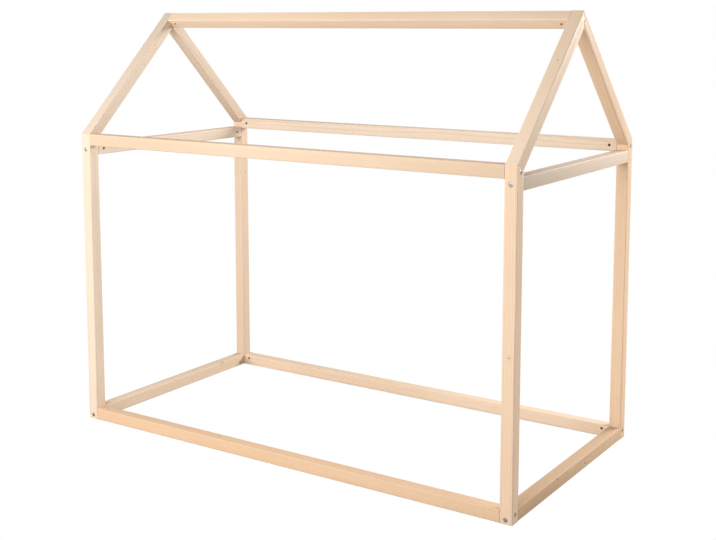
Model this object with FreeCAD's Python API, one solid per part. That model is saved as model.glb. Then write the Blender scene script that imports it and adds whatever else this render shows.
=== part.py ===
import FreeCAD, Part
import math
import os

# House frame bed: a bare softwood frame in the shape of a small house, which stands on the floor
# around a child's mattress. Millimetres, +Z up, X along the bed, Y across it. The origin is on the
# floor under the middle of the frame. Front is -Y, left is -X.
#
# Four posts stand at the corners. Long and end rails are butted between them on the floor, long
# rails between them again at the eaves, and a tie rail across each end a little lower. Each post's
# top is mitred to a rafter of the same section, the rafters of a gable meet on a plumb cut at the
# peak, and the square ridge beam sits corner-up between the gables, its top corner level with it.

# ---- frame -----------------------------------------------------------------------------------
frame_length = 1750.0       # outer faces of the two gables, along X
frame_width = 910.0         # outer faces of the front and rear posts, along Y
section = 42.0              # side of the square planed timber
eaves_height = 1070.0       # floor to the outer corner where post and rafter meet
roof_pitch = 44.0           # degrees from level
tie_drop = 36.0             # top of a tie rail below the top of the eaves rails
arris_radius = 3.0          # eased long edges of every timber

# ---- connector bolts and barrel nuts ---------------------------------------------------------
bolt_diameter = 6.0
bolt_hole_play = 1.0        # hole diameter over the bolt's
bolt_tip_past_nut = 4.0     # thread that shows past the nut
bolt_tip_play = 2.0         # end of the hole past the tip
head_diameter = 14.0
head_thickness = 3.0
head_sink = 1.0             # flat of the head below the face of the timber
head_play = 1.0             # counterbore diameter over the head's
socket_flats = 4.0
socket_depth = 2.4
nut_diameter = 10.0
nut_length = 16.0
nut_hole_play = 0.4         # hole diameter over the nut's
nut_thread_play = 0.1       # cross hole diameter over the bolt's
nut_setback = 27.0          # end of the rail to the nut's axis
nut_slot_width = 1.4
nut_slot_depth = 1.8
foot_bolt_stagger = 14.0    # height between the two bolts that cross in a post's foot

# ---- dowels ----------------------------------------------------------------------------------
dowel_diameter = 8.0
dowel_hole_play = 0.2       # hole diameter over the dowel's
dowel_end_play = 1.0        # hole depth past each end of a dowel
dowel_in_post = 14.0        # reach of a rail dowel into the post or the rafter
dowel_in_rail = 18.0        # reach of a rail dowel into the rail or the ridge
dowel_from_bolt = 13.0      # between a rail's dowel and its bolt
mitre_dowel_reach = 18.0    # each side of the eaves mitre
mitre_dowel_spacing = 22.0  # between the two dowels of a mitre, along X
mitre_dowel_shift = 6.0     # from the middle of the mitre towards its outer edge
peak_dowel_reach = 16.0     # each side of the plumb cut
peak_dowel_spacing = 21.0   # between the two dowels of a peak, along X
peak_dowel_drop = 14.0      # below the ridge bolt
ridge_dowel_spacing = 24.0  # between the two dowels in an end of the ridge beam, along Y

# ---- places that follow from these -------------------------------------------------------------
X = FreeCAD.Vector(1, 0, 0)
Y = FreeCAD.Vector(0, 1, 0)
Z = FreeCAD.Vector(0, 0, 1)

pitch = math.radians(roof_pitch)
half_length = frame_length / 2
half_width = frame_width / 2
half_section = section / 2
inner_half_length = half_length - section
inner_half_width = half_width - section
post_x = half_length - half_section
post_y = half_width - half_section

peak_height = eaves_height + half_width * math.tan(pitch)
rafter_plumb_depth = section / math.cos(pitch)
mitre_fall = rafter_plumb_depth - section * math.tan(pitch)
ridge_half_diagonal = section / math.sqrt(2)
ridge_centre_height = peak_height - ridge_half_diagonal
eaves_rail_height = eaves_height - half_section
tie_rail_height = eaves_height - tie_drop - half_section

bolt_hole_diameter = bolt_diameter + bolt_hole_play
counterbore_depth = head_sink + head_thickness
shank_length = section - counterbore_depth + nut_setback + nut_diameter / 2 + bolt_tip_past_nut
rail_bolt_hole_depth = nut_setback + nut_diameter / 2 + bolt_tip_past_nut + bolt_tip_play
nut_hole_depth = half_section + nut_length / 2
overrun = 1.0               # every cutter starts this far outside the timber
parallel = 0.01             # sine of the angle within which an edge runs with the grain

ENDS = {"left": -1, "right": 1}
SIDES = {"front": -1, "rear": 1}

# Corners of a hexagon socket, and of the prisms that small round parts and holes are drawn as. Those
# that show have more flats than those inside the timber. A part and its hole turn about one axis,
# so their flats lie side by side.
HEXAGON = range(0, 360, 60)
SHOWN_ROUND = range(0, 360, 30)
HIDDEN_ROUND = range(0, 360, 45)

timbers = {}
bores = {}
hardware = {}


# ---- timbers -----------------------------------------------------------------------------------
def roof_slope(side):
    """The way up one slope of the roof, towards the peak."""
    return FreeCAD.Vector(0, -side * math.cos(pitch), math.sin(pitch))


def ease_long_edges(solid, grain):
    """Rounds the edges that run along the grain."""
    long_edges = []
    for edge in solid.Edges:
        way = edge.tangentAt(edge.FirstParameter)
        if way.cross(grain).Length < parallel:
            long_edges.append(edge)
    return solid.makeFillet(arris_radius, long_edges)


def timber(name, corners, run, grain):
    """A timber cut from a flat outline of its corners, swept through run and eased along grain."""
    outline = Part.Face(Part.makePolygon(corners + corners[:1]))
    timbers[name] = ease_long_edges(outline.extrude(run), grain)
    bores[name] = []


def square_corners(centre, across, up):
    """The four corners of the square section about centre."""
    a = across * half_section
    b = up * half_section
    return [centre - a - b, centre + a - b, centre + a + b, centre - a + b]


def post(name, end, side):
    """Stands on the floor, its top mitred to the rafter."""
    start_x = end * half_length
    outer_y = side * half_width
    inner_y = side * inner_half_width
    corners = [
        FreeCAD.Vector(start_x, outer_y, 0),
        FreeCAD.Vector(start_x, inner_y, 0),
        FreeCAD.Vector(start_x, inner_y, eaves_height - mitre_fall),
        FreeCAD.Vector(start_x, outer_y, eaves_height),
    ]
    timber(name, corners, X * (-end * section), Z)


def rafter(name, end, side):
    """Rises from the mitre on its post to the plumb cut at the peak."""
    start_x = end * half_length
    corners = [
        FreeCAD.Vector(start_x, side * half_width, eaves_height),
        FreeCAD.Vector(start_x, side * inner_half_width, eaves_height - mitre_fall),
        FreeCAD.Vector(start_x, 0, peak_height - rafter_plumb_depth),
        FreeCAD.Vector(start_x, 0, peak_height),
    ]
    timber(name, corners, X * (-end * section), roof_slope(side))


def long_rail(name, side, height):
    """Butted between the posts of one long side."""
    centre = FreeCAD.Vector(-inner_half_length, side * post_y, height)
    timber(name, square_corners(centre, Y, Z), X * (2 * inner_half_length), X)


def end_rail(name, end, height):
    """Butted between the posts of one gable."""
    centre = FreeCAD.Vector(end * post_x, -inner_half_width, height)
    timber(name, square_corners(centre, X, Z), Y * (2 * inner_half_width), Y)


def ridge_beam(name):
    """Corner-up between the gables, so that its upper faces follow the slopes of the roof."""
    start = FreeCAD.Vector(-inner_half_length, 0, ridge_centre_height)
    corners = [start + way * ridge_half_diagonal for way in (-Z, Y, Z, -Y)]
    timber(name, corners, X * (2 * inner_half_length), X)


# ---- holes -------------------------------------------------------------------------------------
def prism(corner_turns, radius, start, direction, length):
    """A straight bar from start along direction, its corners at radius from its axis."""
    corners = [FreeCAD.Rotation(Z, turn).multVec(X * radius) for turn in corner_turns]
    bar = Part.Face(Part.makePolygon(corners + corners[:1])).extrude(Z * length)
    bar.Placement = FreeCAD.Placement(start, FreeCAD.Rotation(Z, direction))
    return bar


def bore(name, corner_turns, mouth, direction, diameter, depth):
    """Adds a round hole that goes into the timber from its mouth."""
    start = mouth - direction * overrun
    bores[name].append(prism(corner_turns, diameter / 2, start, direction, depth + overrun))


# ---- bolts, nuts and dowels --------------------------------------------------------------------
def connector_bolt(seat, direction):
    """A flat-headed furniture bolt whose head bears on seat and whose shank runs along direction."""
    top = seat - direction * head_thickness
    head = prism(SHOWN_ROUND, head_diameter / 2, top, direction, head_thickness)
    shank = prism(HIDDEN_ROUND, bolt_diameter / 2, seat, direction, shank_length)
    socket_start = top - direction * overrun
    socket = prism(HEXAGON, socket_flats / math.sqrt(3), socket_start, direction, socket_depth + overrun)
    return head.fuse(shank).cut(socket)


def barrel_nut(centre, entry, bolt_direction):
    """A cross dowel nut about centre, slotted at the end that faces entry."""
    start = centre - entry * (nut_length / 2)
    nut = prism(SHOWN_ROUND, nut_diameter / 2, start, entry, nut_length)
    thread_radius = (bolt_diameter + nut_thread_play) / 2
    thread_start = centre - bolt_direction * nut_diameter
    nut = nut.cut(prism(HIDDEN_ROUND, thread_radius, thread_start, bolt_direction, 2 * nut_diameter))
    slot = Part.makeBox(nut_slot_width, nut_diameter + 2 * overrun, nut_slot_depth + overrun)
    slot.translate(FreeCAD.Vector(-nut_slot_width / 2, -nut_diameter / 2 - overrun, 0))
    bottom = centre + entry * (nut_length / 2 - nut_slot_depth)
    turn = FreeCAD.Rotation(entry.cross(bolt_direction), bolt_direction, entry, "ZYX")
    slot.Placement = FreeCAD.Placement(bottom, turn).multiply(slot.Placement)
    return nut.cut(slot)


def dowel(start, direction, length):
    """A plain dowel."""
    return prism(HIDDEN_ROUND, dowel_diameter / 2, start, direction, length)


# ---- joints ------------------------------------------------------------------------------------
def bolted_joint(group, carriers, rail, face, direction, entry):
    """Draws a rail's end against the timbers that carry it.

    face is where the bolt crosses the joint, direction runs on into the rail, and entry points from
    the bolt to the face of the rail where the barrel nut goes in.
    """
    outside = face - direction * section
    for name in carriers:
        bore(name, HIDDEN_ROUND, outside, direction, bolt_hole_diameter, section + overrun)
        bore(name, SHOWN_ROUND, outside, direction, head_diameter + head_play, counterbore_depth)
    bore(rail, HIDDEN_ROUND, face, direction, bolt_hole_diameter, rail_bolt_hole_depth)
    nut_centre = face + direction * nut_setback
    nut_mouth = nut_centre + entry * half_section
    bore(rail, SHOWN_ROUND, nut_mouth, -entry, nut_diameter + nut_hole_play, nut_hole_depth)
    seat = outside + direction * counterbore_depth
    hardware.setdefault(group + "_bolts", []).append(connector_bolt(seat, direction))
    hardware.setdefault(group + "_nuts", []).append(barrel_nut(nut_centre, entry, direction))


def dowelled_joint(group, near, far, face, direction, near_reach, far_reach):
    """A dowel that crosses a joint at face, from the near timber along direction into the far one."""
    hole_diameter = dowel_diameter + dowel_hole_play
    bore(near, HIDDEN_ROUND, face, -direction, hole_diameter, near_reach + dowel_end_play)
    bore(far, HIDDEN_ROUND, face, direction, hole_diameter, far_reach + dowel_end_play)
    peg = dowel(face - direction * near_reach, direction, near_reach + far_reach)
    hardware.setdefault(group + "_dowels", []).append(peg)


def rail_joint(group, carrier, rail, face, direction, entry, dowel_way):
    """A bolt, and a dowel beside it that stops the rail from turning."""
    bolted_joint(group, [carrier], rail, face, direction, entry)
    dowel_face = face + Z * (dowel_way * dowel_from_bolt)
    dowelled_joint(group, carrier, rail, dowel_face, direction, dowel_in_post, dowel_in_rail)


def corner_joints(end, side, end_name, side_name):
    """The four rails that meet one post."""
    post_name = "post_" + side_name + "_" + end_name
    to_middle_x = X * -end
    to_middle_y = Y * -side
    long_face = FreeCAD.Vector(end * inner_half_length, side * post_y, 0)
    end_face = FreeCAD.Vector(end * post_x, side * inner_half_width, 0)
    side_bolt = half_section + foot_bolt_stagger / 2
    end_bolt = half_section - foot_bolt_stagger / 2
    rail_joint("base_side", post_name, "base_rail_" + side_name,
               long_face + Z * side_bolt, to_middle_x, to_middle_y, -1)
    rail_joint("base_end", post_name, "base_rail_" + end_name,
               end_face + Z * end_bolt, to_middle_y, to_middle_x, 1)
    rail_joint("eaves", post_name, "eaves_rail_" + side_name,
               long_face + Z * eaves_rail_height, to_middle_x, to_middle_y, -1)
    rail_joint("tie", post_name, "tie_rail_" + end_name,
               end_face + Z * tie_rail_height, to_middle_y, to_middle_x, -1)


def mitre_joint(end, side, end_name, side_name):
    """Two glued dowels square to the mitre between a post and its rafter."""
    square_to_mitre = (Z + roof_slope(side)).normalize()
    outward = X.cross(square_to_mitre) * -side
    middle = FreeCAD.Vector(end * post_x, side * post_y, eaves_height - mitre_fall / 2)
    for step in (-1, 1):
        face = middle + outward * mitre_dowel_shift + X * (step * mitre_dowel_spacing / 2)
        dowelled_joint("mitre", "post_" + side_name + "_" + end_name,
                       "rafter_" + side_name + "_" + end_name,
                       face, square_to_mitre, mitre_dowel_reach, mitre_dowel_reach)


def peak_joints(end, end_name):
    """The plumb cut of one gable, and the end of the ridge beam that is drawn against it."""
    front = "rafter_front_" + end_name
    rear = "rafter_rear_" + end_name
    along = X * -end
    face = FreeCAD.Vector(end * inner_half_length, 0, ridge_centre_height)
    lower_front_face = (-Y - Z).normalize()
    bolted_joint("ridge", [front, rear], "ridge_beam", face, along, lower_front_face)
    for step in (-1, 1):
        plumb_cut = FreeCAD.Vector(end * post_x, 0, ridge_centre_height - peak_dowel_drop)
        plumb_cut += X * (step * peak_dowel_spacing / 2)
        dowelled_joint("peak", front, rear, plumb_cut, Y, peak_dowel_reach, peak_dowel_reach)
    for rafter_name, side in ((front, -1), (rear, 1)):
        dowelled_joint("ridge", rafter_name, "ridge_beam", face + Y * (side * ridge_dowel_spacing / 2),
                       along, dowel_in_post, dowel_in_rail)


# ---- the whole frame ---------------------------------------------------------------------------
for side_name, side in SIDES.items():
    long_rail("base_rail_" + side_name, side, half_section)
    long_rail("eaves_rail_" + side_name, side, eaves_rail_height)

for end_name, end in ENDS.items():
    end_rail("base_rail_" + end_name, end, half_section)
    end_rail("tie_rail_" + end_name, end, tie_rail_height)
    for side_name, side in SIDES.items():
        post("post_" + side_name + "_" + end_name, end, side)
        rafter("rafter_" + side_name + "_" + end_name, end, side)

ridge_beam("ridge_beam")

for end_name, end in ENDS.items():
    for side_name, side in SIDES.items():
        corner_joints(end, side, end_name, side_name)
        mitre_joint(end, side, end_name, side_name)
    peak_joints(end, end_name)

os.makedirs("parts", exist_ok=True)

for name, solid in timbers.items():
    finished = solid.cut(bores[name]).Solids[0]
    finished.exportStep("parts/" + name + ".step")

for name, pieces in hardware.items():
    solids = [solid for piece in pieces for solid in piece.Solids]
    Part.makeCompound(solids).exportStep("parts/" + name + ".step")
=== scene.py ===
import bmesh
import bpy
import math
from mathutils import Matrix, Vector


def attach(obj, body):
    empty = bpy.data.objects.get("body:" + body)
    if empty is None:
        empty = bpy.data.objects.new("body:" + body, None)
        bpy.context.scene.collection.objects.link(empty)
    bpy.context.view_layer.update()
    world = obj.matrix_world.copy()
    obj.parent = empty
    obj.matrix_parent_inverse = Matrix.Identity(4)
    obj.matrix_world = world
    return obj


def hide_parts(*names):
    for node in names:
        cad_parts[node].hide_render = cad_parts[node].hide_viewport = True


# House frame bed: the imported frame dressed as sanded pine, held by sunk connector bolts, barrel nuts
# and beech dowels. Metres, in the frame's own axes: X along the bed, front is -Y, the floor is Z = 0.

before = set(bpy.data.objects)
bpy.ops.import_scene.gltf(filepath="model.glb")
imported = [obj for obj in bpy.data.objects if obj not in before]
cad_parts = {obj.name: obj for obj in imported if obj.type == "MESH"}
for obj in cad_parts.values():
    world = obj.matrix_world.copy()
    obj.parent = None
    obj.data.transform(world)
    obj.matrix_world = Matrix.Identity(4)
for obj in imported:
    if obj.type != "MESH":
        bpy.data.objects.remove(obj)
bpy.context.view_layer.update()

X, Y, Z = Vector((1, 0, 0)), Vector((0, 1, 0)), Vector((0, 0, 1))
MM = 0.001

# ---- the frame's sizes ---------------------------------------------------------------------------
HALF_LENGTH = 875 * MM
HALF_WIDTH = 455 * MM
SECTION = 42 * MM               # side of the square planed timber
EAVES = 1070 * MM               # floor to the outer corner where post and rafter meet
PITCH = math.radians(44)
TIE_DROP = 36 * MM              # top of a tie rail below the top of the eaves rails
ARRIS = 3 * MM                  # the rounded long edges of a timber
END_ARRIS = 0.45 * MM           # the eased edge of a sawn end, which draws the joint as a fine line

HALF = SECTION / 2
INNER_X = HALF_LENGTH - SECTION
INNER_Y = HALF_WIDTH - SECTION
POST_X = HALF_LENGTH - HALF
POST_Y = HALF_WIDTH - HALF
PEAK = EAVES + HALF_WIDTH * math.tan(PITCH)
MITRE_FALL = SECTION / math.cos(PITCH) - SECTION * math.tan(PITCH)      # from its outer edge to its inner
RIDGE_CENTRE = PEAK - SECTION / math.sqrt(2)
EAVES_RAIL = EAVES - HALF
TIE_RAIL = EAVES - TIE_DROP - HALF

ENDS = {"left": -1, "right": 1}
SIDES = {"front": -1, "rear": 1}

# ---- connector bolts -----------------------------------------------------------------------------
BOLT_R, BOLT_HOLE_R = 3.0 * MM, 3.5 * MM
HEAD_R, HEAD_THICK, HEAD_EASE = 7.0 * MM, 3.0 * MM, 0.7 * MM
HEAD_SINK, RECESS_R = 1.0 * MM, 7.5 * MM
SOCKET_FLATS, SOCKET_DEPTH = 4.0 * MM, 2.4 * MM
THREAD_LENGTH, THREAD_TURNS = 24 * MM, 22
THREAD_PITCH, THREAD_DEPTH = 1.0 * MM, 0.45 * MM
TIP_EASE = 1.0 * MM
PAST_NUT, PAST_TIP = 4.0 * MM, 2.0 * MM      # the tip past the nut, and the hole past the tip
FOOT_STAGGER = 14 * MM          # height between the two bolts that cross in a post's foot
SIDE_BOLT = HALF + FOOT_STAGGER / 2
END_BOLT = HALF - FOOT_STAGGER / 2

# ---- barrel nuts ---------------------------------------------------------------------------------
NUT_R, NUT_HOLE_R, NUT_LENGTH, NUT_EASE = 5.0 * MM, 5.2 * MM, 16.0 * MM, 0.5 * MM
NUT_SETBACK = 27.0 * MM         # end of the rail to the nut's axis
NUT_THREAD_R = BOLT_R + 0.05 * MM
NUT_SLOT_WIDTH, NUT_SLOT_DEPTH = 1.4 * MM, 1.8 * MM
SHANK = SECTION - HEAD_SINK - HEAD_THICK + NUT_SETBACK + NUT_R + PAST_NUT

# ---- dowels --------------------------------------------------------------------------------------
DOWEL_R, DOWEL_HOLE_R, DOWEL_EASE = 4.0 * MM, 4.1 * MM, 0.8 * MM
DOWEL_PLAY = 1.0 * MM           # hole depth past each end of a dowel
DOWEL_IN_POST, DOWEL_IN_RAIL = 14 * MM, 18 * MM
DOWEL_FROM_BOLT = 13 * MM
BELOW, ABOVE = -1, 1            # where a rail's dowel lies from its bolt
MITRE_DOWEL_REACH, PEAK_DOWEL_REACH = 18 * MM, 16 * MM                  # to each side of the cut
MITRE_DOWEL_SPACING, PEAK_DOWEL_SPACING = 22 * MM, 21 * MM              # along X
RIDGE_DOWEL_SPACING = 24 * MM   # along Y
MITRE_DOWEL_SHIFT = 6 * MM      # from the middle of the mitre towards its outer edge
PEAK_DOWEL_DROP = 14 * MM       # below the ridge bolt

# ---- how the pieces are made ---------------------------------------------------------------------
RIM_EASE = 0.4 * MM             # the eased rim of a hole that shows
OVERRUN = 2 * MM                # how far a cutter runs past the wood or the metal
ROUND_SIDES = 36                # sides of a round part or hole
END_FACING = 0.6                # a face that looks this much along the grain is a sawn end
SMOOTH_UP_TO = math.radians(24)

# ---- the timbers ---------------------------------------------------------------------------------
# how each stick was cut: where the tree's pith lay, in millimetres across the section, and how far up
# the tree in metres; then its colour, from the palest at 0 to the warmest at 1, and how light it is.
# These last two are partly the wood's own tone and partly painted shade: sticks that lie in shade,
# such as the right base rail and the right tie rail, are made darker or warmer in place of that shade
TREES = {
    "post_front_left": (52, -38, 0.3, 0.00, 1.03),
    "post_front_right": (-36, 61, 2.6, 0.55, 1.00),
    "post_rear_left": (44, 52, 3.4, 0.35, 0.98),
    "post_rear_right": (-58, -30, 4.8, 0.80, 1.07),
    "base_rail_front": (30, -66, 6.1, 0.90, 1.01),
    "base_rail_rear": (-48, 40, 8.7, 0.35, 1.07),
    "base_rail_left": (64, 22, 11.2, 0.30, 1.00),
    "base_rail_right": (-26, 57, 12.9, 0.95, 0.84),
    "eaves_rail_front": (41, 46, 14.3, 0.50, 0.94),
    "eaves_rail_rear": (-60, -24, 17.0, 0.05, 0.95),
    "tie_rail_left": (28, 70, 19.4, 0.00, 1.07),
    "tie_rail_right": (-52, 34, 21.1, 0.00, 0.89),
    "rafter_front_left": (36, -55, 22.6, 0.00, 0.96),
    "rafter_front_right": (-43, 47, 24.0, 0.30, 1.05),
    "rafter_rear_left": (57, 33, 25.5, 0.05, 0.95),
    "rafter_rear_right": (-34, -62, 27.2, 0.70, 1.06),
    "ridge_beam": (46, -42, 29.8, 0.35, 1.04),
}
FULL_WARMTH = Vector((0.03, 0.18, 0.34))     # the red, green and blue that the warmest wood loses

# the knots that the photo shows, each its centre and radius: two on the outside of the right base
# rail, and one on top of the front one
SEEN_KNOTS = (
    ((HALF_LENGTH, 92.0 * MM, 17.7 * MM), 4 * MM),
    ((HALF_LENGTH, -129.2 * MM, 35.0 * MM), 4 * MM),
    ((-259.2 * MM, -434.7 * MM, SECTION), 3 * MM),
)


# ---- shader helpers ------------------------------------------------------------------------------
def feed(tree, socket, value):
    """Links a socket to another, or sets its value."""
    if isinstance(value, bpy.types.NodeSocket):
        tree.links.new(value, socket)
    else:
        socket.default_value = value


def calc(tree, operation, *values):
    """One sum, on sockets or numbers."""
    node = tree.nodes.new("ShaderNodeMath")
    node.operation = operation
    for socket, value in zip(node.inputs, values):
        feed(tree, socket, value)
    return node.outputs[0]


def stretched(tree, place, across, along):
    """A place scaled by across in the section and by along down the grain."""
    node = tree.nodes.new("ShaderNodeVectorMath")
    node.operation = "MULTIPLY"
    feed(tree, node.inputs[0], place)
    node.inputs[1].default_value = (across, across, along)
    return node.outputs[0]


def noise(tree, place, scale, detail=2.0, rough=0.5):
    """Soft noise, from 0 to 1."""
    node = tree.nodes.new("ShaderNodeTexNoise")
    feed(tree, node.inputs["Vector"], place)
    feed(tree, node.inputs["Scale"], scale)
    node.inputs["Detail"].default_value = detail
    node.inputs["Roughness"].default_value = rough
    return node.outputs["Fac"]


def ramped(tree, value, low, high, start=0.0, end=1.0):
    """An eased climb from start to end as value goes from low to high."""
    node = tree.nodes.new("ShaderNodeMapRange")
    node.interpolation_type = "SMOOTHSTEP"
    given = {"Value": value, "From Min": low, "From Max": high, "To Min": start, "To Max": end}
    for label, number in given.items():
        feed(tree, node.inputs[label], number)
    return node.outputs["Result"]


def colours_among(sockets):
    """Those sockets of a Mix node that hold a colour."""
    return [socket for socket in sockets if socket.type == "RGBA"]


def blended(tree, share, first, second, way="MIX"):
    """The first colour turning into the second as share goes from 0 to 1."""
    node = tree.nodes.new("ShaderNodeMix")
    node.data_type = "RGBA"
    node.blend_type = way
    feed(tree, node.inputs["Factor"], share)
    for socket, colour in zip(colours_among(node.inputs), (first, second)):
        feed(tree, socket, colour if isinstance(colour, bpy.types.NodeSocket) else (*colour, 1))
    return colours_among(node.outputs)[0]


def marked(tree, colour, mark, mask, share):
    """A colour that turns into the mark's by up to share, where the mask is 1."""
    return blended(tree, calc(tree, "MULTIPLY", mask, share), colour, mark)


def shader_group(name, inputs, outputs):
    """An empty group with its named sockets, and its two end nodes."""
    tree = bpy.data.node_groups.new(name, "ShaderNodeTree")
    for label, kind, value in inputs:
        socket = tree.interface.new_socket(label, in_out="INPUT", socket_type=kind)
        if value is not None:
            socket.default_value = value
    for label, kind in outputs:
        tree.interface.new_socket(label, in_out="OUTPUT", socket_type=kind)
    return tree, tree.nodes.new("NodeGroupInput").outputs, tree.nodes.new("NodeGroupOutput").inputs


def placed(tree, group, **values):
    """A group in a material, with its own values."""
    node = tree.nodes.new("ShaderNodeGroup")
    node.node_tree = group
    for name, value in values.items():
        feed(tree, node.inputs[name.replace("_", " ").title()], value)
    return node.outputs


# ---- effects that the finishes share -------------------------------------------------------------
FLOAT, VECTOR = "NodeSocketFloat", "NodeSocketVector"


def make_annual_rings():
    """Growth rings about the pith, at 0 across the place: pale early wood that darkens to late wood."""
    tree, given, out = shader_group(
        "annual_rings",
        [("Place", VECTOR, None), ("Ring Width", FLOAT, 3.2 * MM), ("Wander", FLOAT, 3 * MM),
         ("Knot Push", FLOAT, 0.0)],
        [("Late Wood", FLOAT)])
    from_pith = tree.nodes.new("ShaderNodeVectorMath")
    from_pith.operation = "LENGTH"
    feed(tree, from_pith.inputs[0], stretched(tree, given["Place"], 1, 0))
    wander = calc(tree, "SUBTRACT", noise(tree, stretched(tree, given["Place"], 9, 1.4), 1.0, 3.0), 0.5)
    radius = calc(tree, "MULTIPLY_ADD", wander, given["Wander"], from_pith.outputs["Value"])
    radius = calc(tree, "ADD", radius, given["Knot Push"])
    even_years = calc(tree, "DIVIDE", radius, given["Ring Width"])
    uneven = tree.nodes.new("ShaderNodeTexNoise")
    uneven.noise_dimensions = "1D"
    feed(tree, uneven.inputs["W"], even_years)
    uneven.inputs["Scale"].default_value = 0.37
    years = calc(tree, "MULTIPLY_ADD", uneven.outputs["Fac"], 2.2, even_years)
    season = calc(tree, "FRACT", years)
    rise = ramped(tree, season, 0.30, 0.90)
    fall = ramped(tree, season, 0.93, 1.0, 1.0, 0.0)
    year_tone = tree.nodes.new("ShaderNodeTexWhiteNoise")
    year_tone.noise_dimensions = "1D"
    feed(tree, year_tone.inputs["W"], calc(tree, "FLOOR", years))
    strength = calc(tree, "MULTIPLY_ADD", year_tone.outputs["Value"], 0.55, 0.45)
    feed(tree, out["Late Wood"], calc(tree, "MULTIPLY", calc(tree, "MULTIPLY", rise, fall), strength))
    return tree


def make_wood_fibre():
    """Fine streaks along the grain, and the darker pores among them."""
    tree, given, out = shader_group(
        "wood_fibre",
        [("Place", VECTOR, None), ("Fineness", FLOAT, 900.0)],
        [("Fibre", FLOAT), ("Pores", FLOAT)])
    drawn_out = stretched(tree, given["Place"], 1, 0.022)
    feed(tree, out["Fibre"], noise(tree, drawn_out, given["Fineness"], 4.0, 0.6))
    pores = noise(tree, drawn_out, calc(tree, "MULTIPLY", given["Fineness"], 2.3))
    feed(tree, out["Pores"], ramped(tree, pores, 0.60, 0.74))
    return tree


def make_small_knots():
    """Small round knots, each with a rim, and the grain's bend around them."""
    tree, given, out = shader_group(
        "small_knots",
        [("Place", VECTOR, None), ("Spacing", FLOAT, 0.10), ("Size", FLOAT, 6 * MM)],
        [("Knot", FLOAT), ("Rim", FLOAT), ("Bend", FLOAT)])
    cells = tree.nodes.new("ShaderNodeTexVoronoi")
    feed(tree, cells.inputs["Vector"], stretched(tree, given["Place"], 1, 0.82))
    feed(tree, cells.inputs["Scale"], calc(tree, "DIVIDE", 1.0, given["Spacing"]))
    cells.inputs["Randomness"].default_value = 1.0
    away = calc(tree, "MULTIPLY", cells.outputs["Distance"], given["Spacing"])
    chance = tree.nodes.new("ShaderNodeSeparateColor")
    feed(tree, chance.inputs[0], cells.outputs["Color"])
    grown = ramped(tree, chance.outputs[0], 0.45, 1.0, 0.02, 1.0)
    size = calc(tree, "MULTIPLY", grown, given["Size"])
    feed(tree, out["Knot"], ramped(tree, away, calc(tree, "MULTIPLY", size, 0.72), size, 1.0, 0.0))
    outside = ramped(tree, away, size, calc(tree, "MULTIPLY", size, 1.35), 1.0, 0.0)
    inside = ramped(tree, away, calc(tree, "MULTIPLY", size, 0.5), size)
    feed(tree, out["Rim"], calc(tree, "MULTIPLY", outside, inside))
    feed(tree, out["Bend"], ramped(tree, away, 0.0, calc(tree, "MULTIPLY", size, 4.5), 1.0, 0.0))
    return tree


def make_seen_knot():
    """One small knot about a given point, with a soft uneven edge."""
    tree, given, out = shader_group(
        "seen_knot",
        [("Place", VECTOR, None), ("Centre", VECTOR, None), ("Radius", FLOAT, 2.5 * MM)],
        [("Knot", FLOAT)])
    apart = tree.nodes.new("ShaderNodeVectorMath")
    apart.operation = "DISTANCE"
    feed(tree, apart.inputs[0], given["Place"])
    feed(tree, apart.inputs[1], given["Centre"])
    uneven = calc(tree, "SUBTRACT", noise(tree, given["Place"], 380.0), 0.5)
    away = calc(tree, "MULTIPLY_ADD", uneven, 1.6 * MM, apart.outputs["Value"])
    inner = calc(tree, "MULTIPLY", given["Radius"], 0.75)
    outer = calc(tree, "MULTIPLY", given["Radius"], 1.25)
    feed(tree, out["Knot"], ramped(tree, away, inner, outer, 1.0, 0.0))
    return tree


def make_eased_arris():
    """1 on the rounded long edges of a stick and 0 on its flats."""
    tree, given, out = shader_group(
        "eased_arris",
        [("Across", VECTOR, None), ("Half Section", FLOAT, HALF), ("Reach", FLOAT, 4 * MM)],
        [("Arris", FLOAT)])
    parts = tree.nodes.new("ShaderNodeSeparateXYZ")
    feed(tree, parts.inputs[0], given["Across"])
    from_middle = [calc(tree, "ABSOLUTE", part) for part in parts.outputs[:2]]
    nearer = calc(tree, "MINIMUM", *from_middle)
    edge = given["Half Section"]
    feed(tree, out["Arris"], ramped(tree, nearer, calc(tree, "SUBTRACT", edge, given["Reach"]), edge))
    return tree


def make_surface_wear():
    """Soft cloudy marks and fine scratches on metal."""
    tree, given, out = shader_group(
        "surface_wear",
        [("Place", VECTOR, None), ("Cloud Scale", FLOAT, 160.0)],
        [("Clouds", FLOAT), ("Scratches", FLOAT)])
    clouds = noise(tree, given["Place"], given["Cloud Scale"], 4.0)
    feed(tree, out["Clouds"], ramped(tree, clouds, 0.35, 0.7))
    fine = noise(tree, stretched(tree, given["Place"], 1, 0.08), 2600.0)
    feed(tree, out["Scratches"], ramped(tree, fine, 0.58, 0.72))
    return tree


annual_rings = make_annual_rings()
wood_fibre = make_wood_fibre()
small_knots = make_small_knots()
seen_knot = make_seen_knot()
eased_arris = make_eased_arris()
surface_wear = make_surface_wear()


# ---- finishes ------------------------------------------------------------------------------------
PORE_BROWN = (0.45, 0.27, 0.14)
KNOT_BROWN = (0.42, 0.22, 0.105)
KNOT_RIM_BROWN = (0.17, 0.085, 0.045)
PALE_BEECH, DEEP_BEECH, FLECK_BROWN = (0.60, 0.42, 0.27), (0.50, 0.32, 0.19), (0.33, 0.18, 0.09)
WOOD_IOR = 1.45


def new_finish(name, **fixed):
    """A material with its Principled shader, whose even values are set on the shader's own sockets."""
    material = bpy.data.materials.new(name)
    material.use_nodes = True
    tree = material.node_tree
    shader = tree.nodes["Principled BSDF"]
    for label, value in fixed.items():
        shader.inputs[label.replace("_", " ")].default_value = value
    return material, tree, shader.inputs


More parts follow.
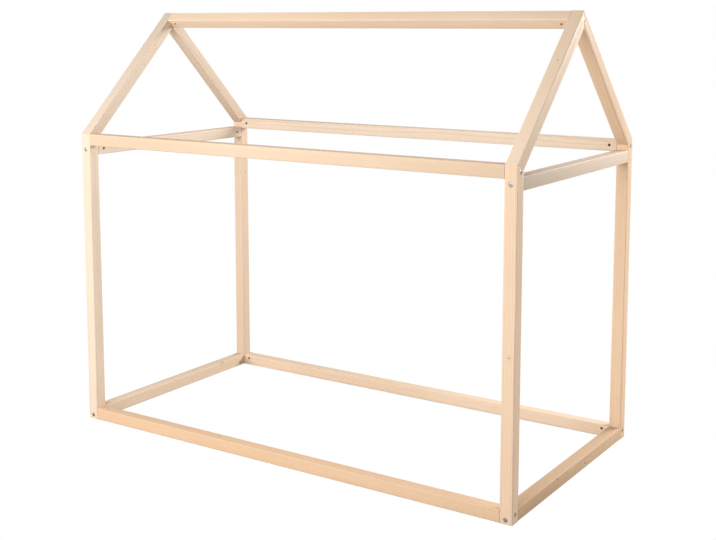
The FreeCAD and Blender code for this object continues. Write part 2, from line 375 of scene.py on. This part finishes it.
def read_attribute(tree, name, kind="Vector"):
    """What a stick's points carry under a name."""
    node = tree.nodes.new("ShaderNodeAttribute")
    node.attribute_name = name
    return node.outputs[kind]


def place_in_frame(tree):
    """A point's place in the frame, as every piece has its origin there."""
    return tree.nodes.new("ShaderNodeTexCoord").outputs["Object"]


def bumped(tree, shader, height, depth, strength):
    """Gives a finish a bump whose height from 0 to 1 stands depth proud."""
    node = tree.nodes.new("ShaderNodeBump")
    node.inputs["Strength"].default_value = strength
    node.inputs["Distance"].default_value = depth
    feed(tree, node.inputs["Height"], height)
    feed(tree, shader["Normal"], node.outputs["Normal"])


def make_pine(name, early, late, late_share, roughness, fibre_share):
    """Bare pine: rings, fibre, small knots and slow changes of tone down the stick.

    early is the two tones that its early wood lies between, and late the tone of its late wood.
    """
    material, tree, shader = new_finish(name, IOR=WOOD_IOR)
    place = read_attribute(tree, "stick_place")
    knots = placed(tree, small_knots, place=place, spacing=0.105, size=7.5 * MM)
    push = calc(tree, "MULTIPLY", knots["Bend"], 5 * MM)
    rings = placed(tree, annual_rings, place=place, ring_width=3.4 * MM, wander=14 * MM, knot_push=push)
    fibre = placed(tree, wood_fibre, place=place, fineness=760.0)
    across = read_attribute(tree, "stick_across")
    arris = placed(tree, eased_arris, across=across, half_section=HALF, reach=3.6 * MM)
    tone = noise(tree, stretched(tree, place, 4.0, 1.1), 1.0)
    colour = blended(tree, ramped(tree, tone, 0.32, 0.68), *early)
    colour = marked(tree, colour, late, rings["Late Wood"], late_share)
    colour = marked(tree, colour, late, ramped(tree, fibre["Fibre"], 0.40, 0.75), fibre_share)
    colour = marked(tree, colour, PORE_BROWN, fibre["Pores"], 0.10)
    colour = marked(tree, colour, early[1], arris["Arris"], 0.22)
    colour = marked(tree, colour, late, knots["Bend"], 0.30)
    # each stick's tint: partly the wood's own tone and partly painted shade, darker or warmer where the stick
    # lies in shade
    colour = blended(tree, 1.0, colour, read_attribute(tree, "stick_tint_and_shade", "Color"), "MULTIPLY")
    colour = marked(tree, colour, KNOT_BROWN, knots["Knot"], 0.80)
    colour = marked(tree, colour, KNOT_RIM_BROWN, knots["Rim"], 0.75)
    here = place_in_frame(tree)
    for centre, radius in SEEN_KNOTS:
        spot = placed(tree, seen_knot, place=here, centre=centre, radius=radius)
        colour = marked(tree, colour, KNOT_RIM_BROWN, spot["Knot"], 0.85)
    feed(tree, shader["Base Color"], colour)
    dull = calc(tree, "MULTIPLY_ADD", rings["Late Wood"], -0.10, roughness)
    feed(tree, shader["Roughness"], calc(tree, "MULTIPLY_ADD", fibre["Fibre"], 0.12, dull))
    height = calc(tree, "MULTIPLY_ADD", rings["Late Wood"], 0.5, fibre["Fibre"])
    bumped(tree, shader, height, 0.06 * MM, 0.5)
    return material


def make_zinc(name, base, roughness):
    """Zinc-plated steel, dulled and a little clouded."""
    material, tree, shader = new_finish(name, Metallic=1.0)
    wear = placed(tree, surface_wear, place=place_in_frame(tree), cloud_scale=190.0)
    clouded = tuple(0.72 * part for part in base)
    feed(tree, shader["Base Color"], blended(tree, wear["Clouds"], base, clouded))
    rough = calc(tree, "MULTIPLY_ADD", wear["Clouds"], 0.16, roughness)
    feed(tree, shader["Roughness"], calc(tree, "MULTIPLY_ADD", wear["Scratches"], 0.10, rough))
    bumped(tree, shader, wear["Scratches"], 0.02 * MM, 0.6)
    return material


def make_beech(name):
    """Turned beech, with the short flecks of its rays."""
    material, tree, shader = new_finish(name, IOR=WOOD_IOR)
    place = place_in_frame(tree)
    fibre = placed(tree, wood_fibre, place=place, fineness=1500.0)
    flecks = ramped(tree, noise(tree, stretched(tree, place, 1, 0.25), 900.0, 1.0), 0.60, 0.68)
    colour = blended(tree, fibre["Fibre"], PALE_BEECH, DEEP_BEECH)
    feed(tree, shader["Base Color"], marked(tree, colour, FLECK_BROWN, flecks, 0.6))
    feed(tree, shader["Roughness"], calc(tree, "MULTIPLY_ADD", fibre["Fibre"], 0.2, 0.5))
    bumped(tree, shader, fibre["Fibre"], 0.05 * MM, 0.5)
    return material


sanded_pine = make_pine(
    "sanded_pine", early=((0.738, 0.596, 0.464), (0.772, 0.645, 0.520)), late=(0.580, 0.382, 0.225),
    late_share=0.42, roughness=0.52, fibre_share=0.16)
sawn_pine_end = make_pine(
    "sawn_pine_end", early=((0.630, 0.460, 0.310), (0.660, 0.500, 0.350)), late=(0.430, 0.250, 0.130),
    late_share=0.70, roughness=0.78, fibre_share=0.30)
bolt_zinc = make_zinc("bolt_zinc", (0.52, 0.50, 0.47), 0.36)
nut_zinc = make_zinc("nut_zinc", (0.58, 0.56, 0.53), 0.40)
turned_beech = make_beech("turned_beech")


# ---- shapes and cutters --------------------------------------------------------------------------
def set_down(bm, start, direction):
    """Moves what was made up the Z axis to start, and turns it to run in direction."""
    turn = Z.rotation_difference(direction).to_matrix().to_4x4()
    bmesh.ops.transform(bm, matrix=Matrix.Translation(start) @ turn, verts=bm.verts)


def turned(profile, start, direction):
    """A round solid from (radius, distance) points along its axis, which runs from start."""
    bm = bmesh.new()
    verts = [bm.verts.new((radius, 0, along)) for radius, along in profile]
    edges = [bm.edges.new(pair) for pair in zip(verts, verts[1:])]
    bmesh.ops.spin(bm, geom=verts + edges, cent=(0, 0, 0), axis=Z, angle=math.tau, steps=ROUND_SIDES,
                   use_merge=True)
    bmesh.ops.remove_doubles(bm, verts=bm.verts, dist=1e-7)
    bmesh.ops.recalc_face_normals(bm, faces=bm.faces)
    set_down(bm, start, direction)
    return bm


def poured(bm, name):
    """A mesh from a bmesh, which is used up."""
    mesh = bpy.data.meshes.new(name)
    bm.to_mesh(mesh)
    bm.free()
    return mesh


def merged(solids):
    """One bmesh from several, which are used up."""
    whole = bmesh.new()
    for solid in solids:
        part = poured(solid, "part")
        whole.from_mesh(part)
        bpy.data.meshes.remove(part)
    return whole


def linked(bm, name):
    """An object in the scene from a bmesh, which is used up."""
    piece = bpy.data.objects.new(name, poured(bm, name))
    bpy.context.scene.collection.objects.link(piece)
    return piece


def cut_by(piece, cutters):
    """Takes each cutter out of a piece, and deletes it."""
    for bm in cutters:
        cut = piece.modifiers.new("cut", "BOOLEAN")
        cut.operation = "DIFFERENCE"
        cut.solver = "EXACT"
        cut.object = linked(bm, "cutter")
    bpy.context.view_layer.update()
    mesh = bpy.data.meshes.new_from_object(piece.evaluated_get(bpy.context.evaluated_depsgraph_get()))
    used = [cut.object for cut in piece.modifiers]
    piece.modifiers.clear()
    blank, piece.data = piece.data, mesh
    mesh.name = blank.name + "_cut"
    bpy.data.meshes.remove(blank)
    for cutter in used:
        data = cutter.data
        bpy.data.objects.remove(cutter)
        bpy.data.meshes.remove(data)


def shade(mesh):
    """Smooths the narrow faces of rounded edges and bores, and leaves the flats flat."""
    for face in mesh.polygons:
        face.use_smooth = True
    mesh.set_sharp_from_angle(angle=SMOOTH_UP_TO)


# ---- sticks --------------------------------------------------------------------------------------
sticks = {}                     # each timber's object, and the matrix that places it
holes = {}                      # the cutters of each timber's holes


def is_end(face, along):
    """Whether a face is a sawn end of a stick whose grain runs along."""
    return abs(face.normal.dot(along)) > END_FACING


def stick(name, start, across, along, length, cuts=()):
    """A square planed stick from start along its grain, with rounded arrises and eased ends.

    cuts are planes, each a point and the way that is cut off.
    """
    place = Matrix((across, along.cross(across), along)).transposed().to_4x4()
    place.translation = start
    bm = bmesh.new()
    bmesh.ops.create_cube(bm, size=1)
    bmesh.ops.scale(bm, vec=(SECTION, SECTION, length), verts=bm.verts)
    bmesh.ops.translate(bm, vec=Z * (length / 2), verts=bm.verts)
    long_edges = [edge for edge in bm.edges if edge.calc_length() > 2 * SECTION]
    bmesh.ops.bevel(bm, geom=long_edges, offset=ARRIS, offset_type="OFFSET", segments=6, profile=0.5,
                    affect="EDGES", material=-1)
    bmesh.ops.transform(bm, matrix=place, verts=bm.verts)
    for point, off in cuts:
        everything = bm.verts[:] + bm.edges[:] + bm.faces[:]
        bmesh.ops.bisect_plane(bm, geom=everything, plane_co=point, plane_no=off, clear_outer=True)
        bmesh.ops.holes_fill(bm, edges=[edge for edge in bm.edges if edge.is_boundary])
    bmesh.ops.recalc_face_normals(bm, faces=bm.faces)
    rims = [edge for edge in bm.edges if any(is_end(face, along) for face in edge.link_faces)]
    bmesh.ops.bevel(bm, geom=rims, offset=END_ARRIS, offset_type="OFFSET", segments=2, profile=0.5,
                    affect="EDGES", material=-1)
    bmesh.ops.recalc_face_normals(bm, faces=bm.faces)
    sticks[name] = (linked(bm, name), place)
    holes[name] = []


def drill(name, mouth, direction, steps, eased=0.0):
    """A cutter for a round hole into a stick, with an eased rim where it shows.

    steps are (radius, depth) pairs from its mouth down.
    """
    mouth_radius = steps[0][0]
    profile = [(0, -OVERRUN), (mouth_radius + eased, -OVERRUN)]
    if eased:
        profile += [(mouth_radius + eased, 0), (mouth_radius, eased)]
    for radius, depth in steps:
        if profile[-1][0] != radius:
            profile.append((radius, profile[-1][1]))
        profile.append((radius, depth))
    profile.append((0, profile[-1][1]))
    holes[name].append(turned(profile, mouth, direction))


def finished_stick(name):
    """Drills a stick, and gives it its finish and the place of each of its points in the tree."""
    piece, place = sticks[name]
    cut_by(piece, holes[name])
    mesh = piece.data
    across, up, grown, warmth, depth = TREES[name]
    pith = Vector((across * MM, up * MM, grown))
    # the tint is partly the wood's own tone and partly painted shade, darker or warmer on sticks that lie in
    # shade
    tint_and_shade = depth * (Vector((1, 1, 1)) - warmth * FULL_WARMTH)
    labels = ("stick_across", "stick_place", "stick_tint_and_shade")
    for label in labels:
        mesh.attributes.new(label, "FLOAT_VECTOR", "POINT")
    across_layer, place_layer, tint_and_shade_layer = (mesh.attributes[label].data for label in labels)
    back = place.inverted()
    for number, vertex in enumerate(mesh.vertices):
        here = back @ vertex.co
        across_layer[number].vector = here
        place_layer[number].vector = here + pith
        tint_and_shade_layer[number].vector = tint_and_shade
    mesh.materials.clear()
    mesh.materials.append(sanded_pine)
    mesh.materials.append(sawn_pine_end)
    along = place.to_3x3() @ Z
    for face in mesh.polygons:
        face.material_index = int(is_end(face, along))
    shade(mesh)
    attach(piece, "root")
    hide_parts(name)


# ---- bolts, nuts and dowels ----------------------------------------------------------------------
bolts, dowels = {}, {}          # the solids of each node
nuts = {}                       # where the nuts of each node lie


def connector_bolt(seat, direction):
    """Flat head with an eased rim and a hexagon socket, plain shank, thread rolled on the tip."""
    top, flat = -HEAD_THICK, SOCKET_FLATS / 2
    profile = [(0, top + SOCKET_DEPTH), (flat, top + SOCKET_DEPTH), (flat, top)]
    profile += [(HEAD_R - HEAD_EASE, top), (HEAD_R - 0.3 * HEAD_EASE, top + 0.3 * HEAD_EASE)]
    profile += [(HEAD_R, top + HEAD_EASE), (HEAD_R, 0), (BOLT_R, 0)]
    for turn in range(THREAD_TURNS):
        along = SHANK - THREAD_LENGTH + turn * THREAD_PITCH
        profile += [(BOLT_R, along), (BOLT_R - THREAD_DEPTH, along + THREAD_PITCH / 2)]
    profile += [(BOLT_R, SHANK - TIP_EASE), (BOLT_R - TIP_EASE, SHANK), (0, SHANK)]
    bm = turned(profile, Vector(), Z)
    sixth = math.radians(60)
    for vert in bm.verts:
        on_socket_wall = abs(math.hypot(vert.co.x, vert.co.y) - flat) < 0.02 * MM
        if on_socket_wall and vert.co.z < 0:
            reach = 1 / math.cos(math.atan2(vert.co.y, vert.co.x) % sixth - sixth / 2)
            vert.co.x *= reach
            vert.co.y *= reach
    set_down(bm, seat, direction)
    return bm


def bolted_joint(group, carriers, rail, face, direction, entry):
    """A bolt through the carriers and a barrel nut in the rail's end, with all their holes."""
    outside = face - direction * SECTION
    seat_depth = HEAD_SINK + HEAD_THICK
    centre = face + direction * NUT_SETBACK
    sunk_hole = [(RECESS_R, seat_depth), (BOLT_HOLE_R, SECTION + OVERRUN)]
    for name in carriers:
        drill(name, outside, direction, sunk_hole, eased=RIM_EASE)
    drill(rail, face, direction, [(BOLT_HOLE_R, NUT_SETBACK + NUT_R + PAST_NUT + PAST_TIP)])
    drill(rail, centre + entry * HALF, -entry, [(NUT_HOLE_R, HALF + NUT_LENGTH / 2)], eased=RIM_EASE)
    bolt = connector_bolt(outside + direction * seat_depth, direction)
    bolts.setdefault(group + "_bolts", []).append(bolt)
    nuts.setdefault(group + "_nuts", []).append((centre, entry, direction))


def dowelled_joint(group, near, far, face, direction, near_reach, far_reach):
    """A dowel with eased ends, and its two blind holes."""
    drill(near, face, -direction, [(DOWEL_HOLE_R, near_reach + DOWEL_PLAY)])
    drill(far, face, direction, [(DOWEL_HOLE_R, far_reach + DOWEL_PLAY)])
    length = near_reach + far_reach
    profile = [(0, 0), (DOWEL_R - DOWEL_EASE, 0), (DOWEL_R, DOWEL_EASE)]
    profile += [(DOWEL_R, length - DOWEL_EASE), (DOWEL_R - DOWEL_EASE, length), (0, length)]
    peg = turned(profile, face - direction * near_reach, direction)
    dowels.setdefault(group + "_dowels", []).append(peg)


def rail_joint(group, post, rail, face, direction, entry, dowel_side):
    """A rail's end on a post: a bolt with its nut, and a dowel below or above it."""
    bolted_joint(group, [post], rail, face, direction, entry)
    dowel_face = face + Z * (dowel_side * DOWEL_FROM_BOLT)
    dowelled_joint(group, post, rail, dowel_face, direction, DOWEL_IN_POST, DOWEL_IN_RAIL)


def nut_slot(end, entry, direction):
    """The cutter of the screwdriver slot in the end of a nut, in line with its bolt."""
    bm = bmesh.new()
    bmesh.ops.create_cube(bm, size=1)
    bmesh.ops.scale(bm, vec=(NUT_SLOT_WIDTH, 3 * NUT_R, NUT_SLOT_DEPTH + OVERRUN), verts=bm.verts)
    bmesh.ops.translate(bm, vec=Z * ((OVERRUN - NUT_SLOT_DEPTH) / 2), verts=bm.verts)
    turn = Matrix((direction.cross(entry), direction, entry)).transposed().to_4x4()
    bmesh.ops.transform(bm, matrix=Matrix.Translation(end) @ turn, verts=bm.verts)
    bmesh.ops.recalc_face_normals(bm, faces=bm.faces)
    return bm


def barrel_nuts(name, settings):
    """Cross dowel nuts with a threaded hole and a screwdriver slot, as one piece."""
    half = NUT_LENGTH / 2
    profile = [(0, -half), (NUT_R - NUT_EASE, -half), (NUT_R, -half + NUT_EASE)]
    profile += [(NUT_R, half - NUT_EASE), (NUT_R - NUT_EASE, half), (0, half)]
    thread = [(0, -NUT_LENGTH), (NUT_THREAD_R, -NUT_LENGTH), (NUT_THREAD_R, NUT_LENGTH), (0, NUT_LENGTH)]
    barrels, threads, slots = [], [], []
    for centre, entry, direction in settings:
        barrels.append(turned(profile, centre, entry))
        threads.append(turned(thread, centre, direction))
        slots.append(nut_slot(centre + entry * half, entry, direction))
    piece = linked(merged(barrels), name)
    cut_by(piece, [merged(threads), merged(slots)])
    return piece


def finished_hardware(piece, node, material):
    """Gives a piece of bolts, nuts or dowels its finish, in place of the frame's node."""
    piece.data.materials.clear()
    piece.data.materials.append(material)
    shade(piece.data)
    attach(piece, "root")
    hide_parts(node)


# ---- the frame's sticks --------------------------------------------------------------------------
def roof_slope(side):
    """The way up one side of the roof."""
    return Vector((0, -side * math.cos(PITCH), math.sin(PITCH)))


def mitre_middle(end, side):
    """The middle of the cut between a post and its rafter."""
    return Vector((end * POST_X, side * POST_Y, EAVES - MITRE_FALL / 2))


def mitre_square(side):
    """Square to that cut, which halves the angle between post and rafter."""
    return (Z + roof_slope(side)).normalized()


for side_name, side in SIDES.items():
    for level, height in (("base", HALF), ("eaves", EAVES_RAIL)):
        name = level + "_rail_" + side_name
        stick(name, Vector((-INNER_X, side * POST_Y, height)), Y, X, 2 * INNER_X)
for end_name, end in ENDS.items():
    for level, height in (("base", HALF), ("tie", TIE_RAIL)):
        name = level + "_rail_" + end_name
        stick(name, Vector((end * POST_X, -INNER_Y, height)), Z, Y, 2 * INNER_Y)
    for side_name, side in SIDES.items():
        mitre, square, slope = mitre_middle(end, side), mitre_square(side), roof_slope(side)
        stick("post_" + side_name + "_" + end_name, Vector((end * POST_X, side * POST_Y, 0)),
              X, Z, EAVES + SECTION, [(mitre, square)])
        stick("rafter_" + side_name + "_" + end_name, mitre - slope * SECTION,
              X, slope, HALF_WIDTH / math.cos(PITCH) + 2 * SECTION, [(mitre, -square), (Vector(), Y * -side)])
stick("ridge_beam", Vector((-INNER_X, 0, RIDGE_CENTRE)), (Y + Z).normalized(), X, 2 * INNER_X)

# ---- the joints ----------------------------------------------------------------------------------
for end_name, end in ENDS.items():
    to_middle_x = X * -end
    for side_name, side in SIDES.items():
        post = "post_" + side_name + "_" + end_name
        rafter = "rafter_" + side_name + "_" + end_name
        to_middle_y = Y * -side
        long_face = Vector((end * INNER_X, side * POST_Y, 0))
        end_face = Vector((end * POST_X, side * INNER_Y, 0))
        rail_joint("base_side", post, "base_rail_" + side_name, long_face + Z * SIDE_BOLT,
                   to_middle_x, to_middle_y, BELOW)
        rail_joint("base_end", post, "base_rail_" + end_name, end_face + Z * END_BOLT,
                   to_middle_y, to_middle_x, ABOVE)
        rail_joint("eaves", post, "eaves_rail_" + side_name, long_face + Z * EAVES_RAIL,
                   to_middle_x, to_middle_y, BELOW)
        rail_joint("tie", post, "tie_rail_" + end_name, end_face + Z * TIE_RAIL,
                   to_middle_y, to_middle_x, BELOW)
        square = mitre_square(side)
        outward = X.cross(square) * -side
        dowel_row = mitre_middle(end, side) + outward * MITRE_DOWEL_SHIFT
        for step in (-1, 1):
            dowelled_joint("mitre", post, rafter, dowel_row + X * (step * MITRE_DOWEL_SPACING / 2), square,
                           MITRE_DOWEL_REACH, MITRE_DOWEL_REACH)
    front, rear = "rafter_front_" + end_name, "rafter_rear_" + end_name
    face = Vector((end * INNER_X, 0, RIDGE_CENTRE))
    bolted_joint("ridge", [front, rear], "ridge_beam", face, to_middle_x, (-Y - Z).normalized())
    for step in (-1, 1):
        plumb_cut = Vector((end * POST_X, 0, RIDGE_CENTRE - PEAK_DOWEL_DROP))
        dowelled_joint("peak", front, rear, plumb_cut + X * (step * PEAK_DOWEL_SPACING / 2), Y,
                       PEAK_DOWEL_REACH, PEAK_DOWEL_REACH)
    for rafter, side in ((front, -1), (rear, 1)):
        dowelled_joint("ridge", rafter, "ridge_beam", face + Y * (side * RIDGE_DOWEL_SPACING / 2),
                       to_middle_x, DOWEL_IN_POST, DOWEL_IN_RAIL)

for name in sticks:
    finished_stick(name)
for node, solids in bolts.items():
    finished_hardware(linked(merged(solids), node), node, bolt_zinc)
for node, settings in nuts.items():
    finished_hardware(barrel_nuts(node, settings), node, nut_zinc)
for node, solids in dowels.items():
    finished_hardware(linked(merged(solids), node), node, turned_beech)

# ---- floor and light -----------------------------------------------------------------------------
FLOOR_R, FLOOR_GAP = 14.0, 0.5 * MM
ROOM_LIGHT, ROOM_SEEN = 0.45, 1.0            # the white room's strength as light, and as the camera sees it


def seen_by_camera(tree):
    """1 where the camera sees a thing directly, and 0 where light reaches it."""
    return tree.nodes.new("ShaderNodeLightPath").outputs["Is Camera Ray"]


def make_pale_floor():
    """Pale to the light, and as white as the room to the camera."""
    material, tree, shader = new_finish("pale_floor", Base_Color=(0.58, 0.55, 0.52, 1), Roughness=0.95)
    white = tree.nodes.new("ShaderNodeEmission")
    either = tree.nodes.new("ShaderNodeMixShader")
    feed(tree, either.inputs[0], seen_by_camera(tree))
    feed(tree, either.inputs[1], tree.nodes["Principled BSDF"].outputs[0])
    feed(tree, either.inputs[2], white.outputs[0])
    feed(tree, tree.nodes["Material Output"].inputs["Surface"], either.outputs[0])
    return material


def softbox(name, place, aim, size, power):
    """A square soft light at place that faces aim."""
    lamp = bpy.data.lights.new(name, "AREA")
    lamp.size = size
    lamp.energy = power
    box = bpy.data.objects.new(name, lamp)
    bpy.context.scene.collection.objects.link(box)
    box.location = place
    box.rotation_euler = (Vector(aim) - Vector(place)).to_track_quat("-Z", "Y").to_euler()


ground = bmesh.new()
bmesh.ops.create_circle(ground, cap_ends=True, radius=FLOOR_R, segments=96)
bmesh.ops.translate(ground, vec=Z * -FLOOR_GAP, verts=ground.verts)
floor = linked(ground, "studio_floor")
floor.data.materials.append(make_pale_floor())

world = bpy.data.worlds.new("studio")
world.use_nodes = True
room = world.node_tree
background = room.nodes["Background"].inputs
background["Color"].default_value = (1, 1, 1, 1)
feed(room, background["Strength"], ramped(room, seen_by_camera(room), 0.0, 1.0, ROOM_LIGHT, ROOM_SEEN))
bpy.context.scene.world = world

softbox("front_softbox", (0.3, -4.6, 2.5), (-0.2, 0, 0.8), 2.6, 120)
softbox("left_softbox", (-3.4, -4.2, 2.4), (0, 0, 0.8), 2.4, 150)
softbox("right_softbox", (2.6, 2.0, 1.6), (0.6, 0.1, 1.1), 1.4, 24)
softbox("rear_softbox", (2.2, 3.6, 2.6), (-0.3, 0, 0.9), 1.8, 155)

# ---- camera --------------------------------------------------------------------------------------
# The photo is that of a level camera whose lens is shifted by 0.37 of the frame's width. This one looks
# down a little and needs a smaller shift, so that views from other sides hold the whole bed.
CAMERA_PLACE = (2.31364, -3.45597, 1.46960)
CAMERA_DIP, CAMERA_TURN = math.radians(7.123), math.radians(33.430)
LENS_LENGTH, LENS_SHIFT, SENSOR_WIDTH = 59.022, -0.14, 36

lens = bpy.data.cameras.new("photo_camera")
lens.sensor_width = SENSOR_WIDTH
lens.lens = LENS_LENGTH
lens.shift_y = LENS_SHIFT
camera = bpy.data.objects.new("photo_camera", lens)
camera.location = CAMERA_PLACE
camera.rotation_euler = (math.radians(90) - CAMERA_DIP, 0, CAMERA_TURN)
bpy.context.scene.collection.objects.link(camera)
bpy.context.scene.camera = camera
bpy.context.scene.view_settings.view_transform = "Standard"
